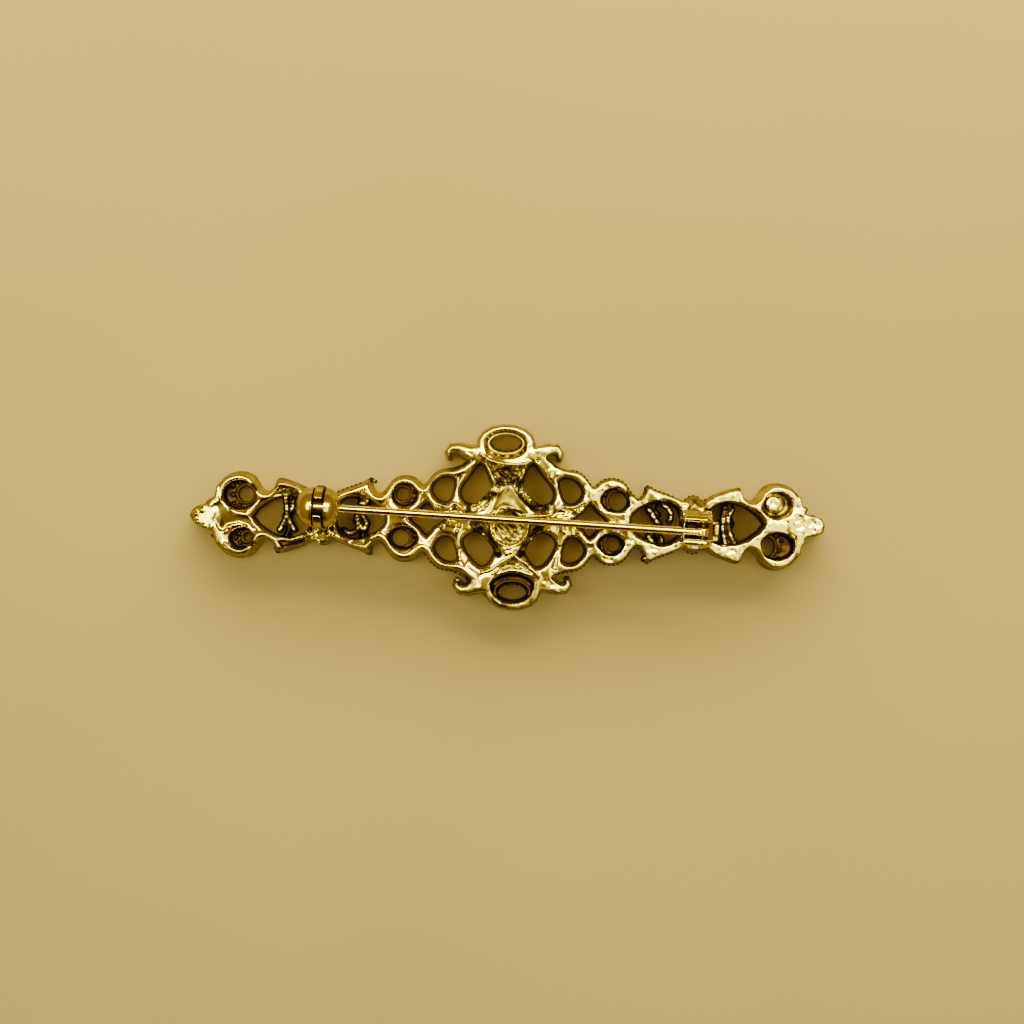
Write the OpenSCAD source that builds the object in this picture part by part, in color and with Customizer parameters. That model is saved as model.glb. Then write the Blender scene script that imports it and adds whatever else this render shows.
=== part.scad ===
// Openwork bar brooch, lying on its front with the pin and the safety catch up.
// X runs along the bar towards the hinge, Y across it and Z up out of the back.
// The origin is under the middle of the whole piece, on the surface it lies on.

/* [Openwork] */
// Length of the bar over both finials
bar_length = 75.8; // [70:0.2:80]
// Height of the casting from its front to the back of its ribs
casting_height = 2.5; // [2:0.1:3]
// Thickness of the low front layer, with its seats and crossbars
front_height = 0.9; // [0.6:0.1:1.2]
// How far the outer walls lean in from the front to the back
wall_draft = 0.6; // [0.2:0.05:0.7]
// How far the centre leans over, as sideways travel for each unit of height
centre_lean = -0.05; // [-0.1:0.01:0.1]
// Place of the bar's own centreline across the brooch
bar_y = -0.3; // [-0.5:0.1:0.5]

/* [Pin] */
// Diameter of the pin wire
pin_d = 0.82; // [0.7:0.02:0.9]
// Diameter of the thick end of the pin, at the hinge
heel_d = 0.95; // [0.9:0.05:1]
// Height of the pin's axis above the surface
pin_z = 5.1; // [5:0.1:5.5]
// How far the pin is turned from the bar
pin_turn = -2.8; // [-4:0.1:0]
// Place of the hinge along the bar
hinge_x = 22.6; // [22:0.1:23]
// Place of the hinge across the bar
hinge_y = -1; // [-1.2:0.1:-0.8]
// Distance from the hinge to the middle of the catch
pin_reach = 44.9; // [44:0.1:45.5]
// Diameter of the hinge rivet
rivet_d = 0.7; // [0.6:0.05:0.8]

/* [Safety catch] */
// Diameter of the ball
ball_d = 4.8; // [4.6:0.1:4.8]
// Width of the fixed ring between the two halves of the ball
ring_w = 1.1; // [0.9:0.05:1.2]
// Width of the slot in the top of the fixed ring
ring_slot_w = 2; // [1.6:0.1:2.2]
// Gap between the turning ball and the fixed ring
running_gap = 0.08; // [0.05:0.01:0.1]
// Where the ball's own slot points in the stored pose, as a turn from straight up
slot_turn = 110; // [0:5:120]

/* [Hidden] */
$fn = 48;
gold = [0.72, 0.56, 0.22];
bright_gold = [0.85, 0.68, 0.28];
half_length = bar_length / 2;
// The four quarters of the pattern: signs along X and Y, stretch of the bar's edge, hook moved in and up
QUARTERS = [[-1, 1, 1, 0, 0], [1, 1, 0.92, 0.4, 0], [-1, -1, 0.94, 0.4, 0.1], [1, -1, 1.03, 0, 0.4]];
// Step between the corners of an oval, in degrees
disc_step = 24;
// Distance from the middle past which the bar's edge is stretched
stretch_from = 15.3;
// Height of the solid middle of the centre, under the ovals
middle_top = 7.6;
// How far solids that are joined run into each other, and cutters run past what they cut
overlap = 0.1;
overcut = 1;

// Point on a smooth curve through four neighbours, at t from b to c
function catmull(a, b, c, d, t) =
    0.5 * (2 * b + (c - a) * t + (2 * a - 5 * b + 4 * c - d) * t * t + (3 * b - a - 3 * c + d) * t * t * t);

// Closed smooth curve through the points
function loop_curve(p, steps = 2) = [
    for (i = [0:len(p) - 1], k = [0:steps - 1])
        catmull(p[(i + len(p) - 1) % len(p)], p[i], p[(i + 1) % len(p)], p[(i + 2) % len(p)], k / steps)
];

// Open smooth curve through the points
function open_curve(p, steps = 2) = concat(
    [for (i = [0:len(p) - 2], k = [0:steps - 1])
        catmull(p[max(i - 1, 0)], p[i], p[i + 1], p[min(i + 2, len(p) - 1)], k / steps)],
    [p[len(p) - 1]]
);

// A strip along a curve whose rows are x, y and half width
module strip(rows, steps = 1) {
    c = open_curve(rows, steps);
    n = len(c) - 1;
    side = [for (i = [0:n]) let (
        d = c[min(i + 1, n)] - c[max(i - 1, 0)],
        l = norm([d[0], d[1]])
    ) [-d[1], d[0]] / l];
    polygon(concat(
        [for (i = [0:n]) [c[i][0], c[i][1]] + c[i][2] * side[i]],
        [for (i = [n:-1:0]) [c[i][0], c[i][1]] - c[i][2] * side[i]]
    ));
    for (e = [c[0], c[n]])
        translate([e[0], e[1]])
            circle(r = e[2], $fn = 10);
}

// Puts a point of the quarter pattern in its quarter, on the bar
function on_bar(q, p) = [q[0] * p[0], q[1] * p[1] * (p[0] > stretch_from ? q[2] : 1) + bar_y];

// The same for the centre, which leans over
function on_centre(q, p) = [q[0] * p[0] + centre_lean * q[1] * p[1], q[1] * p[1] + bar_y];

module bar_blob(q, p, steps = 2) {
    polygon([for (v = loop_curve(p, steps)) on_bar(q, v)]);
}

module centre_blob(q, p, steps = 2) {
    polygon([for (v = loop_curve(p, steps)) on_centre(q, v)]);
}

module centre_strip(q, rows, steps = 1) {
    strip([for (r = rows) concat(on_centre(q, r), [r[2]])], steps);
}

module disc(x, y, rx, ry) {
    polygon([for (a = [0:disc_step:359]) [x + rx * cos(a), y + bar_y + ry * sin(a)]]);
}

// Outline of one quarter from the finial's tip to the middle: x, y
EDGE = [
    [half_length, 0], [37.5, 0.8], [36.8, 1.25], [36.1, 1.35], [35.7, 1.9], [34.9, 2.4],
    [34.7, 3.4], [34.1, 4.4], [33.3, 5.0], [32.1, 5.35], [31.0, 5.2], [30.2, 4.7], [29.7, 3.9],
    [29.2, 3.25], [28.6, 3.05], [28.0, 3.5], [27.7, 4.3], [27.1, 4.65], [25.6, 4.2],
    [24.2, 3.6], [23.1, 2.9], [22.6, 3.4], [21.9, 3.6], [21.3, 3.3], [20.8, 2.9], [20.2, 3.2],
    [18.7, 3.8], [17.4, 4.3], [16.7, 4.75], [16.2, 4.6], [16.15, 3.9], [15.7, 3.15], [15.1, 3.05],
    [14.6, 3.6], [14.1, 4.3], [13.5, 4.9], [12.5, 5.2], [11.4, 5.05], [10.6, 4.5], [10.1, 4.1],
    [9.5, 4.8], [8.9, 5.5], [8.0, 6.0], [6.8, 6.15], [5.6, 6.6], [4.6, 7.4], [3.2, 7.8]
];

// Rings along the bar: x, y, opening half sizes, hole x, y and half sizes
RINGS = [
    [-31.8, 2.5, 2.0, 1.7, -31.3, 2.6, 0.9, 0.9],
    [-31.5, -2.65, 1.5, 1.2, -31.1, -2.5, 0.4, 0.5],
    [31.8, 2.3, 1.7, 1.5, 31.7, 2.5, 0, 0],
    [31.9, -2.6, 2.0, 1.6, 31.0, -2.7, 0.8, 1.1],
    [-12.3, 2.9, 1.5, 1.45, -12.6, 2.9, 0.8, 0.8],
    [-12.5, -2.3, 1.7, 1.3, -12.8, -2.3, 1.0, 1.0],
    [12.7, 2.6, 1.75, 1.4, 13.0, 2.4, 1.1, 1.1],
    [12.2, -2.75, 1.5, 1.2, 12.5, -2.7, 0.8, 0.85]
];

// Long opening at each end of the bar, between the rails: x, y
TEARDROP = [[30.3, 0], [28.8, 1.5], [27.5, 2.15], [25.8, 2.4], [24.4, 1.9], [23.7, 1.1], [23.5, 0]];
// Opening between the waist of the bar and the small rings
WINDOW = [[14.7, 0], [14.9, 0.9], [16.3, 1.9], [17.7, 2.4], [19.1, 2.3], [20.1, 1.5], [20.5, 0]];
// Four sided gap between the small rings and the centre
DIAMOND = [[7.7, 0], [8.9, 0.9], [9.7, 1.9], [10.5, 1.0], [11.6, 0]];
// Small lobe at each corner of the centre
LOBE = [[6.3, 4.7], [7.4, 5.0], [8.4, 4.4], [8.9, 3.4], [8.2, 2.3], [7.2, 2.1], [6.6, 2.9]];
// Large openings of the centre, above the bar and below it
UPPER_GAP = [
    [3.1, 6.6], [3.7, 6.0], [4.4, 5.0], [5.2, 4.0], [5.5, 3.1], [5.1, 2.2],
    [4.1, 1.9], [3.3, 2.3], [1.9, 3.8], [2.1, 4.7], [2.5, 5.9]
];
LOWER_GAP = [
    [3.4, 5.5], [2.7, 5.2], [2.1, 4.3], [1.9, 3.6], [2.5, 2.6], [3.2, 1.8],
    [4.2, 1.5], [5.3, 2.2], [5.4, 3.1], [4.9, 4.1], [4.2, 5.0]
];
// Hook beside each oval, as a strip: x, y, half width
HOOK = [
    [3.4, 7.7, 1.1], [4.7, 8.0, 0.95], [5.6, 8.45, 0.75],
    [6.4, 8.4, 0.65], [6.85, 7.9, 0.5], [6.75, 7.35, 0.35]
];
// Ovals above and below: x, y, outer half sizes, y and half sizes of the opening, half sizes of the hole
OVALS = [
    [-0.4, 9.1, 3.5, 2.35, 9.1, 2.6, 1.6, 1.8, 0.9],
    [0.6, -8.5, 3.4, 2.3, -8, 2.6, 1.6, 1.75, 1.0]
];

// Valleys beside the bell and the cup, cut down to the front layer: x, y, half width
UPPER_VALLEY = [[1.0, 4.3, 0.3], [2.0, 3.0, 0.5], [3.1, 1.7, 0.45], [4.4, 1.2, 0.3]];
LOWER_VALLEY = [[1.3, -4.0, 0.3], [2.6, -2.5, 0.45], [3.5, -1.2, 0.5]];
// Low scrolls in the windows above and below the middle, and bars across the ends: x, y, half width
UPPER_SCROLL = [[17.7, 2.7, 0.65], [17.2, 1.7, 0.5], [17.9, 0.9, 0.4]];
LOWER_SCROLL = [[17.4, -2.6, 0.5], [17.1, -1.2, 0.5], [17.9, -0.3, 0.45]];
CROSSBAR = [[26.5, 2.6, 0.55], [26.1, 1.4, 0.4], [26.6, 0, 0.5]];
// Cup at the back of the centre: x, y, radius of its dish, depth of the dish
CUP = [0.3, -0.9, 1.9, 0.35];
scroll_height = 1.1;
// The bar's waists under the catch and the hinge, where the top level is left out: x, length
WAISTS = [[-22.5, 3.8], [22.4, 2.8]];
// Recess in the middle of each waist: distance from the middle of the bar, y, size
WELL = [22.2, -0.8, 2.4, 1.9];
// Levels of the ribs: share of the rise, share of the draft, how much wider the openings are, waists left out
RIB_LEVELS = [[0.6, 0.55, 0.08, false], [1, 1.1, 0.2, true]];
// Share of the draft that hooks and ovals take, and share of the margin that a ring's opening takes
slim_share = 0.45;
ring_share = 0.5;
// Flat finials at the bar's ends: distance from the middle, share of the draft
FINIAL = [34.4, 0.15];

module outline() {
    base = [[0, middle_top], [0, -overlap], [half_length - overlap, -overlap]];
    for (q = QUARTERS)
        polygon([for (v = concat(open_curve(EDGE), base)) on_bar(q, v)]);
    hooks_and_ovals(0);
}

// A shape in the upper quarter joined across the bar to its mirror image, with its end point too if open
function both_sides(p, open = false) = concat(p, [
    for (i = [len(p) - 2:-1:(open ? 0 : 1)])
        [p[i][0], -p[i][1], p[i][2]]
]);

module through_gaps() {
    for (q = QUARTERS) {
        centre_blob(q, LOBE);
        centre_blob([q[0], 1], q[1] > 0 ? UPPER_GAP : [for (v = LOWER_GAP) [v[0], -v[1]]]);
    }
    for (s = [-1, 1], p = [DIAMOND, TEARDROP, WINDOW])
        bar_blob([s, 1, 1], both_sides(p));
}

module deep_openings() {
    for (r = RINGS)
        disc(r[0], r[1], r[2], r[3]);
    for (o = OVALS)
        disc(o[0], o[4], o[5], o[6]);
}

module floor_holes() {
    for (r = RINGS)
        if (r[6] > 0)
            disc(r[4], r[5], r[6], r[7]);
    for (o = OVALS)
        disc(o[0], o[1], o[7], o[8]);
}

module valleys() {
    for (s = [-1, 1]) {
        centre_strip([s, 1], UPPER_VALLEY);
        centre_strip([s, 1], LOWER_VALLEY);
        translate([s * WELL[0] - WELL[2] / 2, WELL[1] - WELL[3] / 2 + bar_y])
            square([WELL[2], WELL[3]]);
    }
}

module hooks_and_ovals(lean) {
    for (q = QUARTERS)
        centre_strip(q, [for (h = HOOK) [h[0] - q[3], h[1] - q[4], h[2] - lean]]);
    for (o = OVALS)
        disc(o[0], o[1], o[2] - lean, o[3] - lean);
}

module waists() {
    for (w = WAISTS)
        translate([w[0] - w[1] / 2, -middle_top])
            square([w[1], 2 * middle_top]);
}

module finials(lean) {
    for (s = [-1, 1])
        intersection() {
            offset(delta = -FINIAL[1] * lean)
                outline();
            translate([s * (FINIAL[0] + half_length) / 2, 0])
                square([half_length - FINIAL[0], 2 * middle_top], center = true);
        }
}

// The ribs at one level, set in from the outline by lean and from the openings by margin
module ribs(lean, margin, waisted) {
    difference() {
        union() {
            offset(delta = -lean)
                outline();
            hooks_and_ovals(slim_share * lean);
            finials(lean);
        }
        offset(delta = margin)
            through_gaps();
        offset(delta = ring_share * margin)
            deep_openings();
        valleys();
        if (waisted)
            waists();
    }
}

module front_level() {
    difference() {
        outline();
        through_gaps();
        floor_holes();
    }
}

// A strip on the bar, seen from the side that s says
module bar_strip(s, rows) {
    strip([for (r = rows) [s * r[0], r[1] + bar_y, r[2]]]);
}

module scrolls() {
    for (s = [-1, 1]) {
        bar_strip(s, UPPER_SCROLL);
        bar_strip(s, LOWER_SCROLL);
        bar_strip(s, both_sides(CROSSBAR, true));
    }
}

// Offsetting by nothing joins the pieces of a level into one clean outline
module layer(height) {
    linear_extrude(height = height)
        offset(delta = 0)
            children();
}

module casting() {
    layer(front_height)
        front_level();
    layer(scroll_height)
        scrolls();
    difference() {
        for (l = RIB_LEVELS)
            translate([0, 0, front_height - overlap])
                layer((casting_height - front_height) * l[0] + overlap)
                    ribs(wall_draft * l[1], l[2], l[3]);
        translate([CUP[0], CUP[1] + bar_y, casting_height - CUP[3]])
            cylinder(r = CUP[2], h = overcut);
    }
}

// Everything of the pin and the catch is placed from the hinge, with the pin along X
module at_hinge() {
    translate([hinge_x, hinge_y + bar_y, pin_z])
        rotate([0, 0, pin_turn])
            children();
}

// Lugs of the hinge: y of the inner face, y of the outer face
LUGS = [[1.1, 2.05], [-1.65, -0.85]];
lug_r = 1.2;
lug_length = 2.4;
lug_back_drop = 0.6;
bore_gap = 0.03;
// Web that joins the lugs: start and end along X
WEB = [0.9, 2.25];
// Lip on the web, behind the pin: start and end along X, start and end along Y, height above the ribs
LIP = [1.65, 2.25, -0.35, 1.05, 0.55];
// How far the hinge and the catch reach down from the top of the ribs into the waists
sink = 1;

module hinge_bracket() {
    base = casting_height - pin_z - sink;
    for (l = LUGS)
        difference() {
            union() {
                translate([0, l[1], 0])
                    rotate([90, 0, 0])
                        linear_extrude(height = l[1] - l[0])
                            polygon([
                                [lug_r, base], [lug_r, 0], [0, lug_r],
                                [-lug_length, lug_r - lug_back_drop], [-lug_length, base]
                            ]);
                translate([0, l[1], 0])
                    rotate([90, 0, 0])
                        cylinder(r = lug_r, h = l[1] - l[0]);
            }
            translate([0, l[1] + overcut, 0])
                rotate([90, 0, 0])
                    cylinder(r = rivet_d / 2 + bore_gap, h = l[1] - l[0] + 2 * overcut);
        }
    translate([WEB[0], LUGS[1][1] - overlap, base])
        cube([WEB[1] - WEB[0], LUGS[0][0] - LUGS[1][1] + 2 * overlap, sink]);
    translate([LIP[0], LIP[2], base])
        cube([LIP[1] - LIP[0], LIP[3] - LIP[2], LIP[4] + sink]);
}

ring_r = ball_d / 2 - 0.1;
sleeve_hole_r = 1.45;
// Block under the ring: width, height
RING_BLOCK = [2, 1.6];
// Foot of the catch: reach towards the lower rail, width, width and length of its toe
FOOT = [4.1, 1.1, 1.9, 1.2];
foot_rise = 0.35;
toe_rise = 0.25;

module catch_ring() {
    base = casting_height - pin_z - sink;
    translate([-pin_reach, 0, 0]) {
        difference() {
            union() {
                rotate([0, 90, 0])
                    cylinder(r = ring_r, h = ring_w, center = true);
                translate([-ring_w / 2, -RING_BLOCK[0] / 2, base])
                    cube([ring_w, RING_BLOCK[0], RING_BLOCK[1]]);
            }
            rotate([0, 90, 0])
                cylinder(r = sleeve_hole_r, h = 2 * ring_w, center = true);
            translate([-ring_w, -ring_slot_w / 2, 0])
                cube([2 * ring_w, ring_slot_w, ball_d]);
        }
        translate([-FOOT[1] / 2, -FOOT[0], base])
            cube([FOOT[1], FOOT[0], foot_rise + sink]);
        translate([-FOOT[2] / 2, -FOOT[0], base])
            cube([FOOT[2], FOOT[3], toe_rise + sink]);
    }
}

module openwork() {
    color(gold) {
        casting();
        at_hinge() {
            hinge_bracket();
            catch_ring();
        }
    }
}

head_r = 0.55;
head_h = 0.2;

module rivet() {
    color(bright_gold)
        at_hinge()
            rotate([90, 0, 0]) {
                translate([0, 0, -LUGS[0][1] - bore_gap])
                    cylinder(d = rivet_d, h = LUGS[0][1] - LUGS[1][0] + 2 * bore_gap);
                translate([0, 0, -LUGS[0][1] - bore_gap - head_h])
                    cylinder(r1 = head_r - head_h, r2 = head_r, h = head_h);
                translate([0, 0, -LUGS[1][0] + bore_gap])
                    cylinder(r1 = head_r, r2 = head_r - head_h, h = head_h);
            }
}

eye_r = 0.8;
eye_w = 1;
heel_length = 3;
neck_length = 1.5;
point_length = 5;
point_d = 0.14;
tip_past_ring = 1.5;

module pin_stem() {
    reach = pin_reach + tip_past_ring;
    wire = reach - heel_length - neck_length - point_length;
    color(bright_gold)
        at_hinge()
            difference() {
                union() {
                    rotate([90, 0, 0])
                        cylinder(r = eye_r, h = eye_w, center = true);
                    rotate([0, -90, 0]) {
                        cylinder(d = heel_d, h = heel_length);
                        translate([0, 0, heel_length])
                            cylinder(d1 = heel_d, d2 = pin_d, h = neck_length);
                        translate([0, 0, heel_length + neck_length])
                            cylinder(d = pin_d, h = wire);
                        translate([0, 0, heel_length + neck_length + wire])
                            cylinder(d1 = pin_d, d2 = point_d, h = point_length);
                    }
                }
                rotate([90, 0, 0])
                    cylinder(d = rivet_d + 2 * bore_gap, h = 2 * eye_w, center = true);
            }
}

pin_hole_r = pin_d / 2 + 0.12;
// Room for the point of the pin at the end of its bore
tip_room = 0.4;
ball_slot_w = 1.06;
half_face = ring_w / 2 + running_gap;

module locking_ball() {
    bore_length = tip_past_ring + tip_room;
    color(bright_gold)
        at_hinge()
            translate([-pin_reach, 0, 0])
                difference() {
                    union() {
                        difference() {
                            rotate([0, 90, 0])
                                sphere(d = ball_d);
                            rotate([0, 90, 0])
                                cylinder(d = ball_d + overcut, h = 2 * half_face, center = true);
                        }
                        rotate([0, 90, 0])
                            cylinder(r = sleeve_hole_r - running_gap, h = 2 * (half_face + overlap), center = true);
                    }
                    translate([-bore_length, 0, 0])
                        rotate([0, 90, 0])
                            cylinder(r = pin_hole_r, h = bore_length + ball_d);
                    rotate([slot_turn, 0, 0])
                        translate([-bore_length, -ball_slot_w / 2, 0])
                            cube([bore_length + ball_d, ball_slot_w, ball_d]);
                }
}

openwork();
rivet();
pin_stem();
locking_ball();
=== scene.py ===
import math

import bpy
import numpy as np
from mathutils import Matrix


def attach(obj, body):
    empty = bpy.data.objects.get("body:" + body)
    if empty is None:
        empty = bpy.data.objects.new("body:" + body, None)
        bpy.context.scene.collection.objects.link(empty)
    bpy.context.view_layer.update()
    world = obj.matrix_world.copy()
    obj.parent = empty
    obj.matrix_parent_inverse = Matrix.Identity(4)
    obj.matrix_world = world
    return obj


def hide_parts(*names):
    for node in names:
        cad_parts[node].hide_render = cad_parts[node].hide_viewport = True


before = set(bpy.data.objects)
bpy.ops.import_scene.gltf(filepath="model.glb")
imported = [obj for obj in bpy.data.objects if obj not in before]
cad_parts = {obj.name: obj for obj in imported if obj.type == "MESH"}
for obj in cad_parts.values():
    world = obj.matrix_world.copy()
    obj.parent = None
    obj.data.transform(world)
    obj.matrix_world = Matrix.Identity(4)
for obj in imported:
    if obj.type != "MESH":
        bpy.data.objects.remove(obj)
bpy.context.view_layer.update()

import openvdb
from mathutils import Euler, Matrix, Vector

# All shapes are worked out in millimetres in the row frame, and MM turns them into metres
MM = 0.001

# The photograph's geometry
PIXEL_MM = 0.12
PHOTO_SIZE = 1024
CAMERA_HEIGHT = 150.0
CAMERA_X = 0.428
CAMERA_Y = 0.679
BAR_TILT = math.radians(0.937)

# The casting's levels
FRONT_TOP = 0.9
SCROLL_TOP = 1.1
RIB_LOW = 1.4
RIB_TOP = 2.5
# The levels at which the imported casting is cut, apart from RIB_LOW
FLOOR_CUT = 0.5
SCROLL_CUT = 1.05
RIB_TOP_CUT = 2.0

# The field that the casting is made from
STEP = 0.1
FIELD_LOW = (-38.3, -11.6, -0.4)
FIELD_HIGH = (38.3, 11.6, 3.2)
CASTING_TRIANGLES = 190000
# How far distances to its outlines are measured, and a distance that stands for farther than any
REACH = 1.6
OUTER_REACH = 3.0
OPENING_REACH = 1.2
FAR = 9.0

# The hinge's place and direction, the catch along the pin from it, and the casting's top below it
HINGE = (22.6, -1.3, 5.1)
PIN_TURN = math.radians(-2.8)
PIN_REACH = 44.9
BASE = RIB_TOP - HINGE[2]
# How far the hinge and the catch reach down from the top of the ribs into the waists
SINK = 1.0


def photo_point(px, py, height=RIB_TOP):
    """Place in the row frame, in millimetres, of a point of the photograph at a height above the floor."""
    share = (CAMERA_HEIGHT - height) / CAMERA_HEIGHT
    u = (px - PHOTO_SIZE / 2) * PIXEL_MM * share
    v = (PHOTO_SIZE / 2 - py) * PIXEL_MM * share
    x = CAMERA_X + u * math.cos(BAR_TILT) - v * math.sin(BAR_TILT)
    y = CAMERA_Y + u * math.sin(BAR_TILT) + v * math.cos(BAR_TILT)
    return x, y


def photo_line(points, height=RIB_TOP):
    return np.array([photo_point(*p, height) for p in points])


# Where both of two solids are, and where either is, with k as the width of the rounded edge or fillet
def meet(a, b, k):
    h = np.clip(0.5 + 0.5 * (b - a) / k, 0.0, 1.0)
    return b * (1 - h) + a * h - k * h * (1 - h)


def join(a, b, k):
    return -meet(-a, -b, k)


def ramp(value, low, high):
    t = np.clip((value - low) / (high - low), 0.0, 1.0)
    return t * t * (3 - 2 * t)


def fade(value, low, high):
    return 1 - ramp(value, low, high)


# The grid of the casting
XS, YS, ZS = [np.arange(low, high, STEP) for low, high in zip(FIELD_LOW, FIELD_HIGH)]
GX, GY = np.meshgrid(XS, YS, indexing="ij")


def read(items, name="co", size=3, kind=float):
    """What all the items of a mesh say under a name, in rows of that size."""
    values = np.empty(len(items) * size, kind)
    items.foreach_get(name, values)
    return values.reshape(-1, size)


def node_triangles(name):
    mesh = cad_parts[name].data
    mesh.calc_loop_triangles()
    return read(mesh.vertices)[read(mesh.loop_triangles, "vertices", 3, np.int64)] / MM


def section(triangles, z):
    """Line segments in which the triangles cross a level."""
    above = triangles[:, :, 2] > z
    crossing = triangles[above.any(axis=1) & ~above.all(axis=1)]
    following = np.roll(crossing, -1, axis=1)
    za = crossing[..., 2]
    zb = following[..., 2]
    hit = (za > z) != (zb > z)
    t = np.where(hit, (z - za) / np.where(zb == za, 1, zb - za), 0)
    points = crossing[..., :2] + t[..., None] * (following[..., :2] - crossing[..., :2])
    return points[hit].reshape(-1, 2, 2)


def from_line(x, y, a, b):
    """Distance of places from the straight line between two points."""
    along = b - a
    t = np.clip(((x - a[0]) * along[0] + (y - a[1]) * along[1]) / max(along @ along, 1e-12), 0, 1)
    return np.hypot(x - a[0] - t * along[0], y - a[1] - t * along[1])


def distance_to(segments, reach=REACH):
    """Distance from each grid point to the nearest segment, up to reach."""
    found = np.full(GX.shape, reach)
    for a, b in segments:
        i0, j0 = np.maximum(((np.minimum(a, b) - reach - FIELD_LOW[:2]) / STEP).astype(int), 0)
        i1, j1 = ((np.maximum(a, b) + reach - FIELD_LOW[:2]) / STEP).astype(int) + 2
        near = np.s_[i0:i1, j0:j1]
        found[near] = np.minimum(found[near], from_line(GX[near], GY[near], a, b))
    return found


def inside(segments):
    """True at the grid points that the closed segments go round."""
    crossings = np.zeros((len(XS), len(YS) + 1))
    for a, b in segments:
        left, right = (a, b) if a[0] < b[0] else (b, a)
        i0, i1 = np.searchsorted(XS, (left[0], right[0]))
        if i1 > i0:
            y = left[1] + (XS[i0:i1] - left[0]) * (right[1] - left[1]) / (right[0] - left[0])
            np.add.at(crossings, (np.arange(i0, i1), np.searchsorted(YS, y)), 1)
    return np.cumsum(crossings, axis=1)[:, :-1] % 2 == 1


def signed(segments, reach=REACH):
    """Distance to the outline, positive inside it."""
    return np.where(inside(segments), 1, -1) * distance_to(segments, reach)


def borders_outside(segments, solid):
    """True for the segments that border the space outside the casting, and not one of its openings."""
    free = solid < 0
    reached = np.zeros(free.shape, bool)
    reached[[0, -1], :] = True
    reached[:, [0, -1]] = True
    count = 0
    while count != reached.sum():
        count = reached.sum()
        for _ in range(20):
            grown = reached.copy()
            for axis, step in ((0, 1), (0, -1), (1, 1), (1, -1)):
                grown |= np.roll(reached, step, axis)
            reached = grown & free
    along = segments[:, 1] - segments[:, 0]
    length = np.maximum(np.linalg.norm(along, axis=1, keepdims=True), 1e-9)
    side = np.stack([-along[:, 1], along[:, 0]], axis=1) / length * 2.5 * STEP
    keep = np.zeros(len(segments), bool)
    for spot in (segments.mean(axis=1) - side, segments.mean(axis=1) + side):
        i, j = np.rint((spot - FIELD_LOW[:2]) / STEP).astype(int).T
        keep |= reached[i, j]
    return keep


def between(grid, u, v, smooth=False):
    """Value of a flat grid between its points, at places in its own steps."""
    i = u.astype(int)
    j = v.astype(int)
    s = ramp(u - i, 0, 1) if smooth else u - i
    t = ramp(v - j, 0, 1) if smooth else v - j
    low = grid[i, j] * (1 - s) + grid[i + 1, j] * s
    high = grid[i, j + 1] * (1 - s) + grid[i + 1, j + 1] * s
    return low * (1 - t) + high * t


def noise(scale, seed):
    """Smooth seeded noise on the grid, from -1 to 1, with its scale in millimetres."""
    rng = np.random.default_rng(seed)
    u = (GX - FIELD_LOW[0]) / scale
    v = (GY - FIELD_LOW[1]) / scale
    return between(rng.uniform(-1, 1, (int(u.max()) + 2, int(v.max()) + 2)), u, v, True)


def sample(grid, x, y):
    """Value of a flat grid at each place in millimetres."""
    u = np.clip((x - FIELD_LOW[0]) / STEP, 0, len(XS) - 1.001)
    v = np.clip((y - FIELD_LOW[1]) / STEP, 0, len(YS) - 1.001)
    return between(grid, u, v)


def curve_through(points, steps=6):
    """Smooth curve through the points."""
    p = [np.array(q, float) for q in points]
    p = [2 * p[0] - p[1]] + p + [2 * p[-1] - p[-2]]
    made = []
    for a, b, c, d in zip(p, p[1:], p[2:], p[3:]):
        for k in range(steps):
            t = k / steps
            made.append(0.5 * (2 * b + (c - a) * t + (2 * a - 5 * b + 4 * c - d) * t * t
                               + (3 * b - a - 3 * c + d) * t ** 3))
    made.append(p[-2])
    return np.array(made)


def segments_of(points, closed=False):
    points = np.array(points)
    following = np.roll(points, -1, axis=0)
    pairs = np.stack([points, following], axis=1)
    return pairs if closed else pairs[:-1]


def stroke(points, half_width):
    """One on a curve drawn on the photograph, falling to nothing at half_width on both sides."""
    line = curve_through(photo_line(points))
    return fade(distance_to(segments_of(line), half_width), 0, half_width)


def within(points):
    """Distance into an outline drawn on the photograph."""
    return signed(segments_of(photo_line(points), True))


def patch(points, edge):
    """One inside an outline drawn on the photograph, falling off over the width of its edge."""
    return ramp(within(points), -edge / 2, edge / 2)


def away_from(px, py):
    """Distance of the grid's points from a point of the photograph."""
    x, y = photo_point(px, py)
    return np.hypot(GX - x, GY - y)


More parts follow.
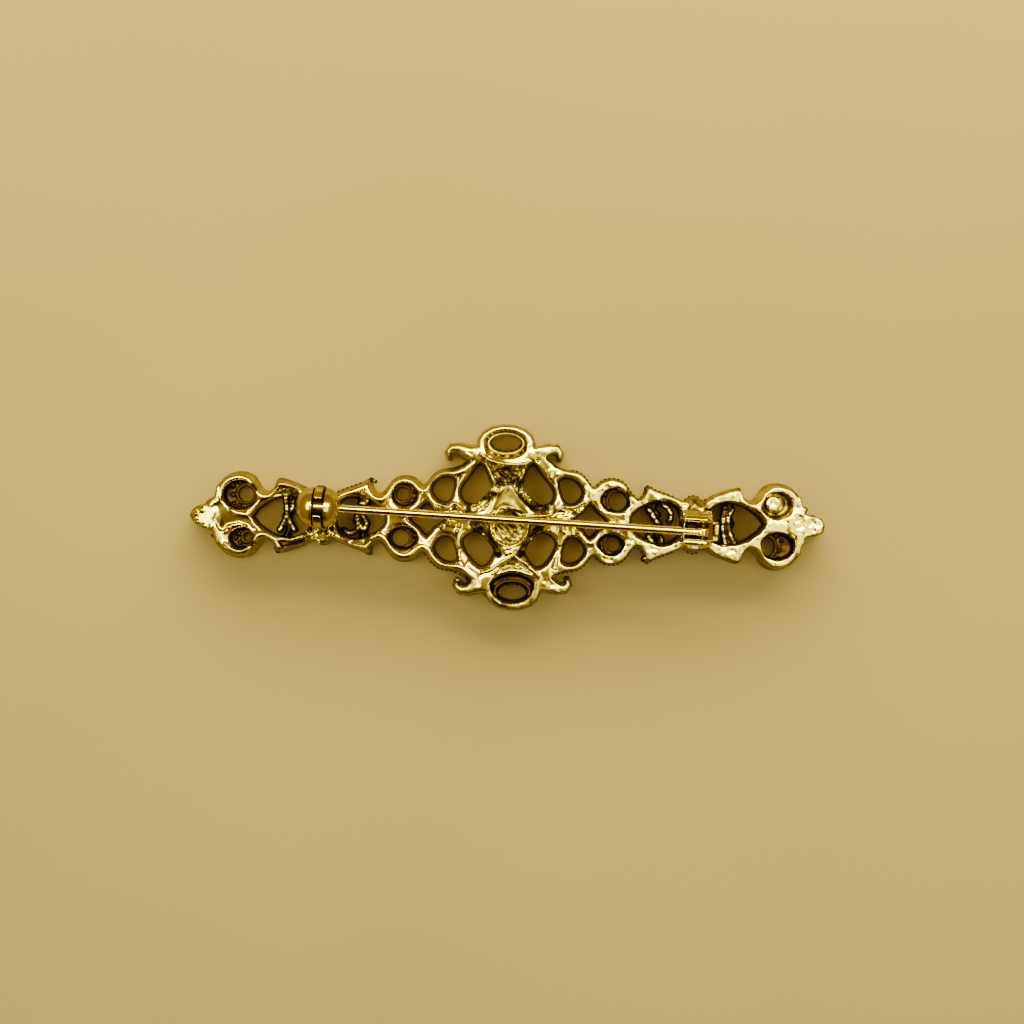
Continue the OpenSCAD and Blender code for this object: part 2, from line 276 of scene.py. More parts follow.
# Low areas of the back: depth, grain, rise for each millimetre along Y, outline on the photograph
LOW_AREAS = {
    "under_upper_oval": (0.45, 0.22, 0.05, [
        (486, 461), (492, 462), (503, 467), (521, 467), (526, 469), (519, 478), (513, 485), (498, 485),
        (492, 474)]),
    "left_of_cup": (0.6, 0.16, 0, [
        (470, 523), (489, 523), (490, 535), (498, 549), (493, 549), (482, 537), (474, 532)]),
    "right_of_cup": (0.5, 0.16, 0, [(531, 524), (549, 527), (541, 534), (531, 541), (528, 536)]),
    "left_shoulder": (0.25, 0.12, 0.1, [(441, 506), (449, 510), (455, 506), (464, 513), (441, 513)]),
    "right_shoulder": (0.22, 0.12, 0.05, [
        (549, 517), (562, 508), (573, 509), (585, 503), (583, 516), (566, 519)]),
    "left_strut": (0.3, 0.05, 0.1, [(458, 548), (465, 548), (468, 560), (465, 565), (461, 560)]),
    "right_strut": (0.25, 0.05, 0, [(557, 547), (561, 546), (556, 570), (552, 568)]),
    "below_bell": (0.3, 0.1, 0, [
        (498, 515), (501, 511.2), (505, 510), (510, 511.2), (514, 514), (516.5, 518), (498, 518)]),
    "above_lower_oval": (0.3, 0.14, 0.1, [
        (500, 566), (512, 559), (524, 566), (531, 573), (520, 569), (510, 568), (498, 572)]),
    "left_finial": (0.14, 0.008, 0.085, [
        (217, 501), (221, 501), (226, 508), (234, 514.5), (246, 516.5), (250, 519), (254, 526), (258, 531),
        (253, 531), (247, 525.5), (238, 522.5), (229, 525), (225, 531), (218, 530), (214, 521), (216, 512)]),
    "lower_left_rail": (0.42, 0.04, 0.15, [(277, 540.5), (289, 541.3), (303, 538), (304, 543), (284, 549)]),
    "upper_left_rail": (0.3, 0.05, 0.15, [(277, 490), (292, 488), (298, 490), (288, 495), (272, 496)]),
    "lower_rail_inner": (0.3, 0.03, 0.1, [(346, 540), (368, 536), (370, 541), (364, 545), (348, 543)]),
}
# Raised lines of the back: half width, height, curve on the photograph
RAISED_LINES = {
    "left_shoulder": (0.22, 0.16, [(437, 503), (448, 507), (455, 503), (466, 512)]),
    "right_shoulder": (0.22, 0.14, [(523, 516), (549, 515), (562, 507), (572, 507.5), (585, 502)]),
    "upper_arch": (0.22, 0.14, [(480, 453), (490, 460), (504, 463.5), (521, 464), (530, 462)]),
    "lower_arch_left": (0.22, 0.14, [(512, 556), (500, 563), (490, 570), (481, 572.5)]),
    "lower_arch_right": (0.22, 0.14, [(512, 553), (520, 560), (530, 566), (539, 576)]),
    "bell_hem": (0.24, 0.18, [
        (490, 514), (497.2, 511.5), (500.3, 508.8), (504.9, 507.7), (509.9, 509.2), (514.4, 511.5),
        (517.5, 514.9), (521.3, 516.1)]),
    "inner_arch": (0.2, 0.14, [(492, 574), (499, 570), (509, 567.5)]),
    "left_ring_band": (0.42, 0.1, [(220, 498), (227, 506), (236, 512), (246, 514.5)]),
    "lower_left_rim": (0.2, 0.14, [(224, 543), (231, 548), (239, 551.5), (247, 549)]),
    "lower_left_crest": (0.3, 0.14, [
        (262, 529.5), (270, 531.8), (280, 536.4), (289, 538.5), (296, 537.2), (303, 533.7)]),
    "upper_left_rail": (0.34, 0.12, [
        (262, 492), (270, 489), (277, 484.8), (284, 483.6), (292, 485), (303, 489)]),
    "right_of_catch": (0.25, 0.2, [(338, 520), (338.5, 527), (340.5, 534), (343, 539), (351, 539)]),
}
# Plain bright places of the back, with no rim round them: middle on the photograph, radius in pixels
PLAIN_SPOTS = [(205, 517, 14), (479, 455, 8), (543, 457, 11), (487, 582, 8), (541, 577, 6), (404, 512, 5)]
# Small lumps on the back: place on the photograph, radius, height of the middle
LUMPS = [
    (502, 473, 0.3, 2.1), (506, 476, 0.34, 2.15), (509, 479, 0.28, 2.1), (500, 484, 0.25, 2.3),
    (504, 484, 0.3, 2.35), (508, 483.5, 0.28, 2.35), (511, 484.5, 0.22, 2.3), (505, 549, 0.3, 2.3),
    (509, 548, 0.34, 2.35), (514, 549, 0.3, 2.3), (507, 553, 0.34, 2.3), (511, 552, 0.3, 2.35),
    (280, 491, 0.16, 2.25), (290, 489.5, 0.18, 2.25), (228.5, 503, 0.14, 2.4), (230, 510, 0.16, 2.4),
    (229, 527, 0.3, 2.2), (226, 531, 0.28, 2.2), (233, 525, 0.22, 2.2), (245, 526, 0.22, 2.35),
    (441, 526, 0.3, 2.3), (447, 523, 0.28, 2.3), (453, 524, 0.3, 2.35), (459, 526, 0.28, 2.35),
    (457, 531, 0.25, 2.3), (561, 529, 0.28, 2.35), (565, 532, 0.25, 2.3), (214.6, 534.4, 0.42, 1.2),
    (802.7, 541.7, 0.42, 1.9), (306.5, 531.5, 0.24, 2.5), (304.5, 536.5, 0.24, 2.5), (309, 534.5, 0.2, 2.4),
    (327.5, 536, 0.26, 2.4), (323, 533.5, 0.25, 2.3), (331, 533, 0.28, 2.3), (325, 539, 0.24, 2.2),
    (328.5, 530.5, 0.24, 2.3), (334, 537, 0.24, 2.4), (195.6, 513.6, 0.3, 2.1), (202, 510, 0.36, 2.1),
    (211.5, 505, 0.36, 2.1), (197.5, 521.5, 0.32, 2.1), (204.5, 525.4, 0.36, 2.1), (212, 526.3, 0.38, 2.1),
    (278.2, 550.5, 0.36, 1.3), (276.2, 548, 0.26, 1.4), (371.6, 479.8, 0.32, 1.5),
    (375.5, 481.5, 0.25, 1.4), (368.4, 549.4, 0.45, 1.4), (647.9, 490.3, 0.42, 1.4),
    (738.0, 490.3, 0.34, 1.5), (643.9, 558.8, 0.42, 1.3), (735.8, 561, 0.3, 1.4), (804.4, 510, 0.42, 2.1),
    (801.5, 510.5, 0.36, 2.1), (812.5, 518.6, 0.42, 2.1), (813.6, 533.6, 0.42, 2.1),
    (819.5, 521.8, 0.36, 2.1), (820.5, 531, 0.36, 2.1), (556.5, 448.3, 0.5, 1.95),
]
# Notches beside the right tip and over the lower left hook, and the tip's round end: place, radius
NOTCHES = [(811.6, 510.2, 0.68), (810.9, 542.2, 0.68), (457, 577, 0.55)]
TIP_ROUND = (815.5, 526.4, 1.15)


def trimmed():
    """Distance into what the notches and the round tip leave."""
    kept = np.full(GX.shape, FAR)
    for px, py, radius in NOTCHES:
        kept = np.minimum(kept, away_from(px, py) - radius)
    px, py, radius = TIP_ROUND
    return np.where(GX > photo_point(px, py)[0], np.minimum(kept, radius - away_from(px, py)), kept)


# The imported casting's outlines at its levels, and the distances to the outer ones and to those of openings
casting_triangles = node_triangles("openwork")
cuts = [section(casting_triangles, level) for level in (FLOOR_CUT, SCROLL_CUT, RIB_LOW, RIB_TOP_CUT)]
solids = [signed(lines) for lines in cuts]
outer_lines = cuts[0][borders_outside(cuts[0], solids[0])]
OUTER = distance_to(outer_lines, OUTER_REACH)
OPENINGS = distance_to(cuts[-1][~borders_outside(cuts[-1], solids[-1])], OPENING_REACH)
FRONT, SCROLLS, RIBS_LOW, RIBS_TOP = np.minimum(solids, trimmed())

# How far the ribs' tops are let out: on the left half, more on the right half, less at its end rings
LET_OUT = 0.22
LET_OUT_RIGHT = 0.26
LET_OUT_RINGS = 0.3


def top_edge():
    """Distance into the tops of the ribs, let out towards the outside."""
    rings = ramp(GX, 27, 29) * fade(GX, 34.2, 35)
    let_out = LET_OUT + LET_OUT_RIGHT * ramp(GX, -4, 6) - LET_OUT_RINGS * rings
    wide = RIBS_TOP + 0.04 + let_out * fade(OUTER, 0.8, 1.3)
    return np.minimum(wide, np.maximum(FRONT - 0.2, RIBS_TOP))


TOP_EDGE = top_edge()

# The crowns of the ribs: their fall, how much less it is on the right half, and their width from the edge
CROWN_FALL = 0.32
CROWN_FALL_LESS = 0.22
CROWN_WIDTH = 0.7
# How much lower the left half lies away from the outer edge, and how fast the left tip falls from its start
INNER_FALL = 0.16
LEFT_TIP = -34.4
LEFT_TIP_FALL = 0.14

# The cup at the back of the centre, with its rim, and the bell above it
CUP = (0.15, -1.15)
CUP_RIM = 2.2
CUP_DEPTH = 0.4
CUP_RIM_HEIGHT = 0.12
BELL = [
    (508, 484), (500, 492), (494, 503), (490, 514), (505, 508), (518, 515), (531, 515), (526, 508),
    (518, 498), (513, 490),
]
BELL_TOP = 3.6
BELL_HEIGHT = 3.3
# Slanting streaks for the floor of the cup
STREAKS = sample(noise(0.3, 13), 2.3 * (GX + GY), 0.6 * (GX - GY))


def rib_relief():
    """Height of the back over the ribs, with its crowns, low areas, lines, cup and bell."""
    plain = np.zeros(GX.shape)
    for px, py, radius in PLAIN_SPOTS:
        spot = fade(away_from(px, py), 0.7 * radius * PIXEL_MM, 1.2 * radius * PIXEL_MM)
        plain = np.maximum(plain, spot)
    top = np.full(GX.shape, RIB_TOP)
    crown = CROWN_FALL - CROWN_FALL_LESS * ramp(GX, -6, 8)
    top -= (1 - plain) * crown * np.clip(CROWN_WIDTH - TOP_EDGE, 0, CROWN_WIDTH) ** 2
    top -= (1 - plain) * INNER_FALL * ramp(OUTER, 0.8, 1.3) * fade(GX, -6, 2)
    mottled = ramp(GX, -2, 8) * ramp(TOP_EDGE, 0.1, 0.4)
    top += 0.03 * noise(2.2, 1) + (0.004 + 0.03 * mottled) * noise(0.42, 2)
    top += 0.026 * mottled * noise(0.28, 12) - 0.09 * mottled * ramp(noise(0.75, 3), -0.4, 1.1)
    top -= LEFT_TIP_FALL * np.clip(LEFT_TIP - GX, 0, 4)
    for depth, grain, slope, outline in LOW_AREAS.values():
        middle = np.mean(photo_line(outline)[:, 1])
        top -= patch(outline, 0.35) * (depth + grain * noise(0.35, 4) - slope * (GY - middle))
    bell = within(BELL)
    down = np.clip((BELL_TOP - GY) / BELL_HEIGHT, 0, 1)
    top += 0.2 * ramp(bell, -0.1, 0.8) + 0.22 * ramp(bell, 0, 0.7) * down ** 2
    top -= 0.03 * fade(np.abs(bell), 0.0, 0.3)
    from_cup = np.hypot(GX - CUP[0], GY - CUP[1])
    dish = CUP_DEPTH * (1 - (from_cup / CUP_RIM) ** 2)
    rough = (0.06 * noise(0.35, 5) + 0.06 * STREAKS) * fade(GY, -1.6, 0.4)
    top = np.where(from_cup < CUP_RIM, RIB_TOP - 0.02 - dish + rough, top)
    top += CUP_RIM_HEIGHT * fade(np.abs(from_cup - CUP_RIM), 0.0, 0.25)
    for half_width, height, line in RAISED_LINES.values():
        top += height * stroke(line, half_width)
    return top


# Leaves in the valleys beside the bell and the cup: half width, height, curve of the middle on the photograph
LEAVES = {
    "upper_left": (1.1, 1.15, [(499, 484), (491, 495), (480, 505), (470, 509)]),
    "upper_right": (1.1, 1.15, [(518, 484), (528, 497), (540, 506), (551, 509)]),
    "lower_left": (0.9, 0.95, [(498, 549), (489, 540), (480, 530)]),
    "lower_right": (0.9, 0.95, [(522, 547), (531, 538), (541, 531)]),
}
# Closed disc in the upper right ring: place on the photograph, radius, height
CLOSED_DISC = (774.5, 503.8, 0.92, 1.9)


def front_relief():
    """Height of the front layer where it shows from the back, in the seats, leaves and rings."""
    top = np.full(GX.shape, FRONT_TOP)
    top += 0.06 * noise(0.4, 6)
    for half_width, height, line in LEAVES.values():
        leaf = stroke(line, half_width)
        veins = 0.15 * np.cos(leaf * 3 * math.pi)
        top += ramp(leaf, 0.05, 0.5) * (height + veins + 0.2 * noise(0.3, 7))
    px, py, radius, height = CLOSED_DISC
    top += fade(away_from(px, py), radius - 0.1, radius + 0.1) * (height - FRONT_TOP)
    return top


RIB_RELIEF = rib_relief()
FRONT_RELIEF = front_relief()
# One on the leaves, falling to nothing at their edges
LEAF_SHARE = np.max([ramp(stroke(line, width), 0.05, 0.5) for width, _, line in LEAVES.values()], axis=0)

# How far the casting flares under its ribs, how much narrower the tops are beside the openings, how far they
# stay inside the outline at the tips, and where along the bar the tips begin
FLARE = 0.22
NARROWER = 0.12
TIP_INSET = 0.15
TIPS = (34.6, 35.4)
# The groove in the front face: its distance from the edge and its depth
GROOVE = (0.42, 0.1)


def casting_field():
    """Distance into the casting, positive in the metal, on a grid of three directions."""
    base = np.minimum(FRONT, RIBS_LOW + FLARE)
    narrow_top = TOP_EDGE - NARROWER * fade(OPENINGS, 0.5, 1.0) * ramp(OUTER, 0.4, 0.9)
    narrow_top = np.maximum(narrow_top, FRONT - TIP_INSET - 2 * fade(np.abs(GX), *TIPS))
    below = GROOVE[1] * fade(np.abs(FRONT - GROOVE[0]), 0.05, 0.2) + 0.05 * ramp(noise(1.1, 8), 0, 1)
    scroll_crown = SCROLL_TOP + 0.15 - 0.5 * fade(SCROLLS, 0, 0.5)
    layers = []
    for z in ZS:
        low = np.clip((z - FRONT_TOP) / (RIB_LOW - FRONT_TOP), 0, 1)
        high = np.clip((z - RIB_LOW) / (RIB_TOP - 0.15 - RIB_LOW), 0, 1.2)
        side = base + (RIBS_LOW - base) * low + (narrow_top - RIBS_LOW) * high
        ribs = meet(side, RIB_RELIEF - z, 0.22)
        front = meet(FRONT, FRONT_RELIEF - z, 0.2)
        scrolls = meet(SCROLLS, scroll_crown - z, 0.3)
        solid = join(join(ribs, front, 0.15), scrolls, 0.1)
        layers.append(meet(solid, z - below, 0.3))
    return np.stack(layers, axis=2)


# How far round a small ball the field is worked out again
MARGIN = 0.4


def add_ball(field, x, y, z, radius, k=0.06):
    """Joins one small ball to the field, with k as the width of the fillet."""
    centre = np.array((x, y, z))
    low = ((centre - radius - MARGIN - FIELD_LOW) / STEP).astype(int)
    high = ((centre + radius + MARGIN - FIELD_LOW) / STEP).astype(int) + 2
    i, j, m = [slice(max(a, 0), b) for a, b in zip(low, high)]
    away = np.sqrt(
        (XS[i, None, None] - x) ** 2 + (YS[None, j, None] - y) ** 2 + (ZS[None, None, m] - z) ** 2)
    field[i, j, m] = join(field[i, j, m], radius - away, k)


def chain(segments):
    """The segments in order, as lines of points."""
    following = {}
    for ends in segments:
        a, b = [tuple(np.round(end, 3)) for end in ends]
        if a != b:
            following.setdefault(a, []).append(b)
            following.setdefault(b, []).append(a)
    lines = []
    for start in following:
        while following[start]:
            here, line = start, [start]
            while following[here]:
                there = following[here].pop()
                following[there].remove(here)
                line.append(there)
                here = there
            lines.append(np.array(line))
    return lines


def evenly(points, spacing):
    """Points at equal distances along a line."""
    lengths = np.linalg.norm(np.diff(points, axis=0), axis=1)
    along = np.concatenate([[0], np.cumsum(lengths)])
    marks = np.arange(0, along[-1], spacing)
    return np.stack([np.interp(marks, along, points[:, k]) for k in (0, 1)], axis=1)


# Stretches of the outer edge that carry a row of fine grains: lowest x, highest x, side of the bar's middle
GRAINED_EDGES = [
    (-20.8, -17.3, 1), (-10, -3.9, -1), (7.5, 20, 1), (4.5, 20, -1), (20.6, 23.6, 1), (20.6, 23.6, -1),
]
BAR_Y = -0.3
GRAIN_SPACING = 0.55
GRAIN_RADIUS = 0.25
GRAIN_SHOWN = 0.1

# Seats at the front level: x, y, half sizes of the hole, direction of the wide side, number of grains
SEATS = [
    (-31.3, 2.3, 0.9, 0.9, 180, 5), (-31.1, -2.8, 0.4, 0.5, 170, 6), (31.7, 2.2, 0.9, 0.9, 0, 0),
    (31.0, -3.0, 0.8, 1.1, 0, 6), (-12.6, 2.6, 0.8, 0.8, 20, 5), (-12.8, -2.6, 1.0, 1.0, 350, 4),
    (13.0, 2.1, 1.1, 1.1, 180, 3), (12.5, -3.0, 0.8, 0.85, 180, 3),
]
# The ovals: x, y, half sizes of the hole, direction of the beaded side
OVAL_SEATS = [(-0.4, 8.8, 1.8, 0.9, 270), (0.6, -8.8, 1.75, 1.0, 90)]

# The beads that run together as a rim round a seat's hole and an oval's, and how far out they lie
SEAT_BEADS = 26
SEAT_RIM = 0.16
OVAL_BEADS = 44
OVAL_RIM = (0.32, 0.3)


def oval_point(x, y, rx, ry, angle):
    return x + rx * math.cos(angle), y + ry * math.sin(angle)


def add_details(field):
    """Grains, lumps, seats and beads, joined to the casting's field."""
    for line in chain(outer_lines):
        for x, y in evenly(line, GRAIN_SPACING):
            for low, high, side in GRAINED_EDGES:
                if low < x < high and (y - BAR_Y) * side > 0:
                    i, j = int((x - FIELD_LOW[0]) / STEP), int((y - FIELD_LOW[1]) / STEP)
                    slope = np.array((FRONT[i + 2, j] - FRONT[i - 2, j], FRONT[i, j + 2] - FRONT[i, j - 2]))
                    inward = slope / max(np.linalg.norm(slope), 1e-6)
                    place = (x, y) + (GRAIN_RADIUS - GRAIN_SHOWN) * inward
                    add_ball(field, *place, FRONT_TOP - 0.1, GRAIN_RADIUS)
    for px, py, radius, height in LUMPS:
        add_ball(field, *photo_point(px, py, height), height, radius, 0.12)
    rng = np.random.default_rng(9)
    for x, y, rx, ry, wide, grains in SEATS:
        for a in np.linspace(0, 2 * math.pi, SEAT_BEADS, endpoint=False):
            add_ball(field, *oval_point(x, y, rx + SEAT_RIM, ry + SEAT_RIM, a), FRONT_TOP, 0.15, 0.15)
        for k in range(grains):
            a = math.radians(wide + (k - (grains - 1) / 2) * 34 + rng.uniform(-8, 8))
            far = 0.62 + 0.3 * (k % 2)
            radius = rng.uniform(0.22, 0.3)
            add_ball(field, *oval_point(x, y, rx + far, ry + far, a), FRONT_TOP + 0.08, radius)
    for x, y, rx, ry, beaded in OVAL_SEATS:
        for a in np.linspace(0, 2 * math.pi, OVAL_BEADS, endpoint=False):
            place = oval_point(x, y, rx + OVAL_RIM[0], ry + OVAL_RIM[1], a)
            add_ball(field, *place, FRONT_TOP + 0.35, 0.2, 0.2)
        for k in range(9):
            a = math.radians(beaded + (k - 4) * 21)
            radius = 0.24 + 0.05 * (k % 2)
            add_ball(field, *oval_point(x, y, rx + 0.06, ry + 0.06, a), FRONT_TOP, radius)


# Twisted bars across the end openings and scrolls in the windows: radius, height, curve on the photograph
STRANDS = {
    "left_bar_front": (0.32, 0.95, [(286, 497), (287, 505), (287.5, 513), (285, 521), (280, 530)]),
    "left_bar_back": (0.28, 0.8, [(294, 500), (293, 508), (289, 516), (291, 523), (295, 530)]),
    "right_bar_left": (0.3, 0.95, [(725, 508), (723, 517), (722, 526), (723, 535), (725, 543)]),
    "right_bar_right": (0.32, 1.0, [(732, 510), (728, 517), (728, 526), (730, 535), (734, 543)]),
    "left_scroll_upper": (0.3, 0.9, [(357, 493), (362, 497), (368, 500), (366, 504), (360, 503)]),
    "left_scroll_lower": (0.3, 0.95, [(357, 516), (359, 524), (364, 529), (367, 523), (363, 516)]),
    "left_scroll_curl": (0.26, 0.8, [(343, 529), (349, 533), (356, 531), (359, 526), (355, 519)]),
    "right_scroll_upper": (0.34, 0.95, [(648, 509), (652, 514), (655, 520), (659, 524)]),
    "right_scroll_curl": (0.26, 0.8, [(663, 505), (669, 510), (671, 517), (668, 523)]),
    "right_scroll_lower": (0.32, 0.9, [(648, 536), (652, 541), (657, 545), (661, 541), (660, 536)]),
}
# The balls that a strand is made of: how far apart, and how much they rise and swell with its twist
STRAND_SPACING = 0.12
TWIST = 0.05


def add_strands(field):
    for radius, height, line in STRANDS.values():
        for k, (x, y) in enumerate(evenly(curve_through(photo_line(line, height)), STRAND_SPACING)):
            knot = TWIST * math.sin(k * 0.85 + radius * 90)
            add_ball(field, x, y, height + knot, radius + 0.1 + knot, 0.08)


# One on the middle of the strands, falling to nothing at their edges
STRAND_SHARE = np.max([
    fade(distance_to(segments_of(curve_through(photo_line(line, height))), 0.5), 0.08, 0.7 * radius)
    for radius, height, line in STRANDS.values()
], axis=0)


def add_object(name, data):
    made = bpy.data.objects.new(name, data)
    bpy.context.scene.collection.objects.link(made)
    return made


def make_object(name, points, faces):
    mesh = bpy.data.meshes.new(name)
    mesh.from_pydata(points.tolist(), [], faces)
    mesh.update()
    return add_object(name, mesh)


def mesh_from_field(name, field, low, step, triangles=None):
    """Mesh in metres of the surface where the field is zero, with about as many triangles as are given."""
    grid = openvdb.FloatGrid(3.0)
    grid.copyFromArray(np.ascontiguousarray(-field, dtype=np.float32))
    points, corners, quads = grid.convertToPolygons(isovalue=0.0)
    points = (points * step + np.array(low)) * MM
    faces = [f[::-1] for f in corners.tolist() + quads.tolist()]
    made = make_object(name, points, faces)
    if triangles:
        fewer = made.modifiers.new("fewer", "DECIMATE")
        fewer.ratio = triangles / (2 * len(faces))
        graph = bpy.context.evaluated_depsgraph_get()
        mesh = bpy.data.meshes.new_from_object(made.evaluated_get(graph))
        made.modifiers.clear()
        made.data = mesh
    made.data.shade_smooth()
    return made


def hollowness(mesh):
    """How far each point lies in a hollow of its mesh, from -1 on a sharp edge to 1 in a groove."""
    count = len(mesh.vertices)
    place = read(mesh.vertices)
    normal = read(mesh.vertices, "normal")
    a, b = read(mesh.edges, "vertices", 2, np.int64).T
    along = place[b] - place[a]
    along /= np.maximum(np.linalg.norm(along, axis=1, keepdims=True), 1e-9)
    neighbours = np.maximum(np.bincount(a, minlength=count) + np.bincount(b, minlength=count), 1)
    bend = np.bincount(a, (along * normal[a]).sum(axis=1), count)
    bend -= np.bincount(b, (along * normal[b]).sum(axis=1), count)
    bend /= neighbours
    for _ in range(2):
        total = np.bincount(a, bend[b], count) + np.bincount(b, bend[a], count)
        bend = 0.5 * bend + 0.5 * total / neighbours
    return np.clip(bend * 2.5, -1, 1), place / MM, normal


def store_patina_and_shade(made, values):
    # The patina and the painted shade of each point
    layer = made.data.attributes.new("patina_and_shade", "FLOAT", "POINT")
    layer.data.foreach_set("value", np.clip(values, 0, 1).astype(np.float32))


# Brown places of the casting: darkness, outline on the photograph
DARK_AREAS = {
    "lower_left_plate": (0.8, [
        (277, 540.8), (288, 541.5), (297, 540), (304, 538), (303, 542), (292, 545), (281, 547)]),
    "upper_left_corner": (0.5, [(290, 490), (300, 489.5), (299, 495.5), (289, 494.5)]),
    "bell": (0.44, BELL),
    "left_of_bell": (0.4, [
        (503, 490), (506, 486), (508, 484), (500, 492), (494, 503), (490, 512), (484, 512), (491, 505),
        (498, 497)]),
    "right_of_bell": (0.4, [
        (510, 485), (514, 487), (520, 496), (529, 508), (525, 508), (518, 498), (513, 490)]),
    "bell_neck": (0.14, [(508, 484), (500, 492), (497, 499), (518, 500), (518, 498), (513, 490)]),
    "above_bell": (0.3, LOW_AREAS["under_upper_oval"][3]),
    "above_lower_oval": (0.35, LOW_AREAS["above_lower_oval"][3]),
    "lower_left_hook": (0.3, [(466, 570), (476, 572), (481, 585), (470, 590), (462, 588)]),
    "right_plate_pits": (0.5, [(766, 528), (769, 527.5), (771, 529.5), (768, 531), (765.5, 530)]),
}


def paint_patina_and_shade(made):
    """Stores how dark the antique finish and the painted shade are at each point of the casting.

    The finish is dark in the depths, hollows, cup and brown places, worn off the crests and strands, and
    mottled on the tops of the right half; painted shade darkens the steep outer walls.
    """
    bend, place, normal = hollowness(made.data)
    x, y, z = place.T
    relief = sample(RIB_RELIEF, x, y)
    near_outside = fade(sample(OUTER, x, y), 0.5, 1.0)
    leaves = sample(LEAF_SHARE, x, y)
    grain = sample(noise(0.6, 10), x, y)
    speckle = sample(noise(0.3, 16), x, y)
    deep = ramp(relief - z, 0.2, 0.9) * (1 - 0.75 * near_outside)
    dark = deep * ramp(z, 0.1, 0.45) * (0.95 + 0.3 * grain)
    dark *= 1 - 0.25 * leaves
    dark += 0.6 * leaves * (0.6 + 0.8 * grain)
    worn = ramp(sample(noise(0.35, 11), x, y), -0.9, 0.1)
    dark *= 1 - sample(STRAND_SHARE, x, y) * ramp(z, 0.85, 1.2) * worn
    dark += 0.4 * ramp(RIB_TOP - relief, 0.25, 0.6) * (1 - near_outside)
    # Painted shade on the steep outer walls, dimming their reflection of the floor
    dark += 0.18 * near_outside * fade(normal[:, 2], 0.3, 0.8)
    for darkness, outline in DARK_AREAS.values():
        dark += darkness * sample(patch(outline, 0.25), x, y)
    dark += 0.9 * np.clip(bend, 0, 1)
    upward = ramp(normal[:, 2], 0.1, 0.7)
    dark *= 1 - 0.8 * ramp(-bend, 0.06, 0.3) * upward
    from_cup = np.hypot(x - CUP[0], y - CUP[1])
    in_cup = fade(from_cup, CUP_RIM - 0.5, CUP_RIM - 0.2)
    dark += in_cup * (0.56 + 0.15 * grain + 0.5 * sample(STREAKS, x, y))
    # The upper oval is brighter than the depths beside it, and the lower one is speckled with brown
    for (ox, oy, rx, ry, _), lighter, darker in zip(OVAL_SEATS, (0.6, 0), (0, 0.5)):
        in_oval = fade(np.hypot((x - ox) / (rx + 1.5), (y - oy) / (ry + 1.2)), 0.8, 0.95)
        dark *= 1 - lighter * in_oval
        dark += darker * in_oval * ramp(speckle, -0.8, 0.2)
    px, py, radius, _ = CLOSED_DISC
    px, py = photo_point(px, py)
    from_disc = np.hypot(x - px, y - py)
    dark *= ramp(from_disc, radius, radius + 0.2) * (0.66 + 0.34 * ramp(from_disc, 1.8, 2.5))
    dark += 0.36 * ramp(x, -2, 10) * upward * ramp(sample(noise(0.7, 15), x, y) + 0.6 * speckle, -0.3, 0.9)
    store_patina_and_shade(made, dark)


def make_casting():
    field = casting_field()
    add_strands(field)
    add_details(field)
    made = mesh_from_field("casting", field, FIELD_LOW, STEP, CASTING_TRIANGLES)
    paint_patina_and_shade(made)
    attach(made, "frame")
    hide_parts("openwork")
    return made


# Fields of the small fittings, in the hinge's own frame, with the pin along X
def slab(value, low, high, k):
    """Between two faces, with edges rounded over k."""
    return meet(value - low, high - value, k)


def block(x, y, z, low, high, k):
    x, y, z = map(slab, (x, y, z), low, high, (k, k, k))
    return meet(meet(x, y, k), z, k)


def settle(function, points):
    """Moves the points onto the surface where the function is zero."""
    h = 0.01
    for _ in range(3):
        value = function(*points.T)
        slope = np.stack([
            (function(*(points + h * axis).T) - function(*(points - h * axis).T)) / (2 * h)
            for axis in np.eye(3)
        ], axis=1)
        size = np.maximum((slope ** 2).sum(axis=1), 0.05)
        move = slope * (value / size)[:, None]
        points = points - np.clip(move, -0.05, 0.05)
    return points


def to_row_frame(points):
    """From the hinge's frame in millimetres to the row frame."""
    turn = np.array(Matrix.Rotation(PIN_TURN, 3, "Z"))
    return points @ turn.T + np.array(HINGE)


def fitting(name, function, low, high, step, body, nodes=(), darkness=None):
    """One small piece from its function, in place on its body, with painted shade where the darkness says."""
    axes = [np.arange(a, b, step) for a, b in zip(low, high)]
    made = mesh_from_field(name, function(*np.meshgrid(*axes, indexing="ij")), low, step)
    settled = settle(function, read(made.data.vertices) / MM)
    made.data.vertices.foreach_set("co", (to_row_frame(settled) * MM).ravel())
    made.data.update()
    store_patina_and_shade(made, darkness(*settled.T) if darkness else np.zeros(len(settled)))
    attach(made, body)
    if nodes:
        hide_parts(*nodes)
    return made


LUG_RADIUS = 1.2
LUG_LENGTH = 2.4
UPPER_LUG = (1.1, 2.05)
LOWER_LUG = (-1.65, -0.85)
# Where the upper lug's top starts to fall, and the edge and height of the solder on its outer side
UPPER_CREST = 1.45
UPPER_FILLET = (2.5, -0.75)
# The web between the lugs: start and end along X
WEB = (0.9, 2.25)
# The lip behind the pin: start and end along X, then across, and its height
LIP = (1.65, 2.25, -0.35, 1.05, 0.55)


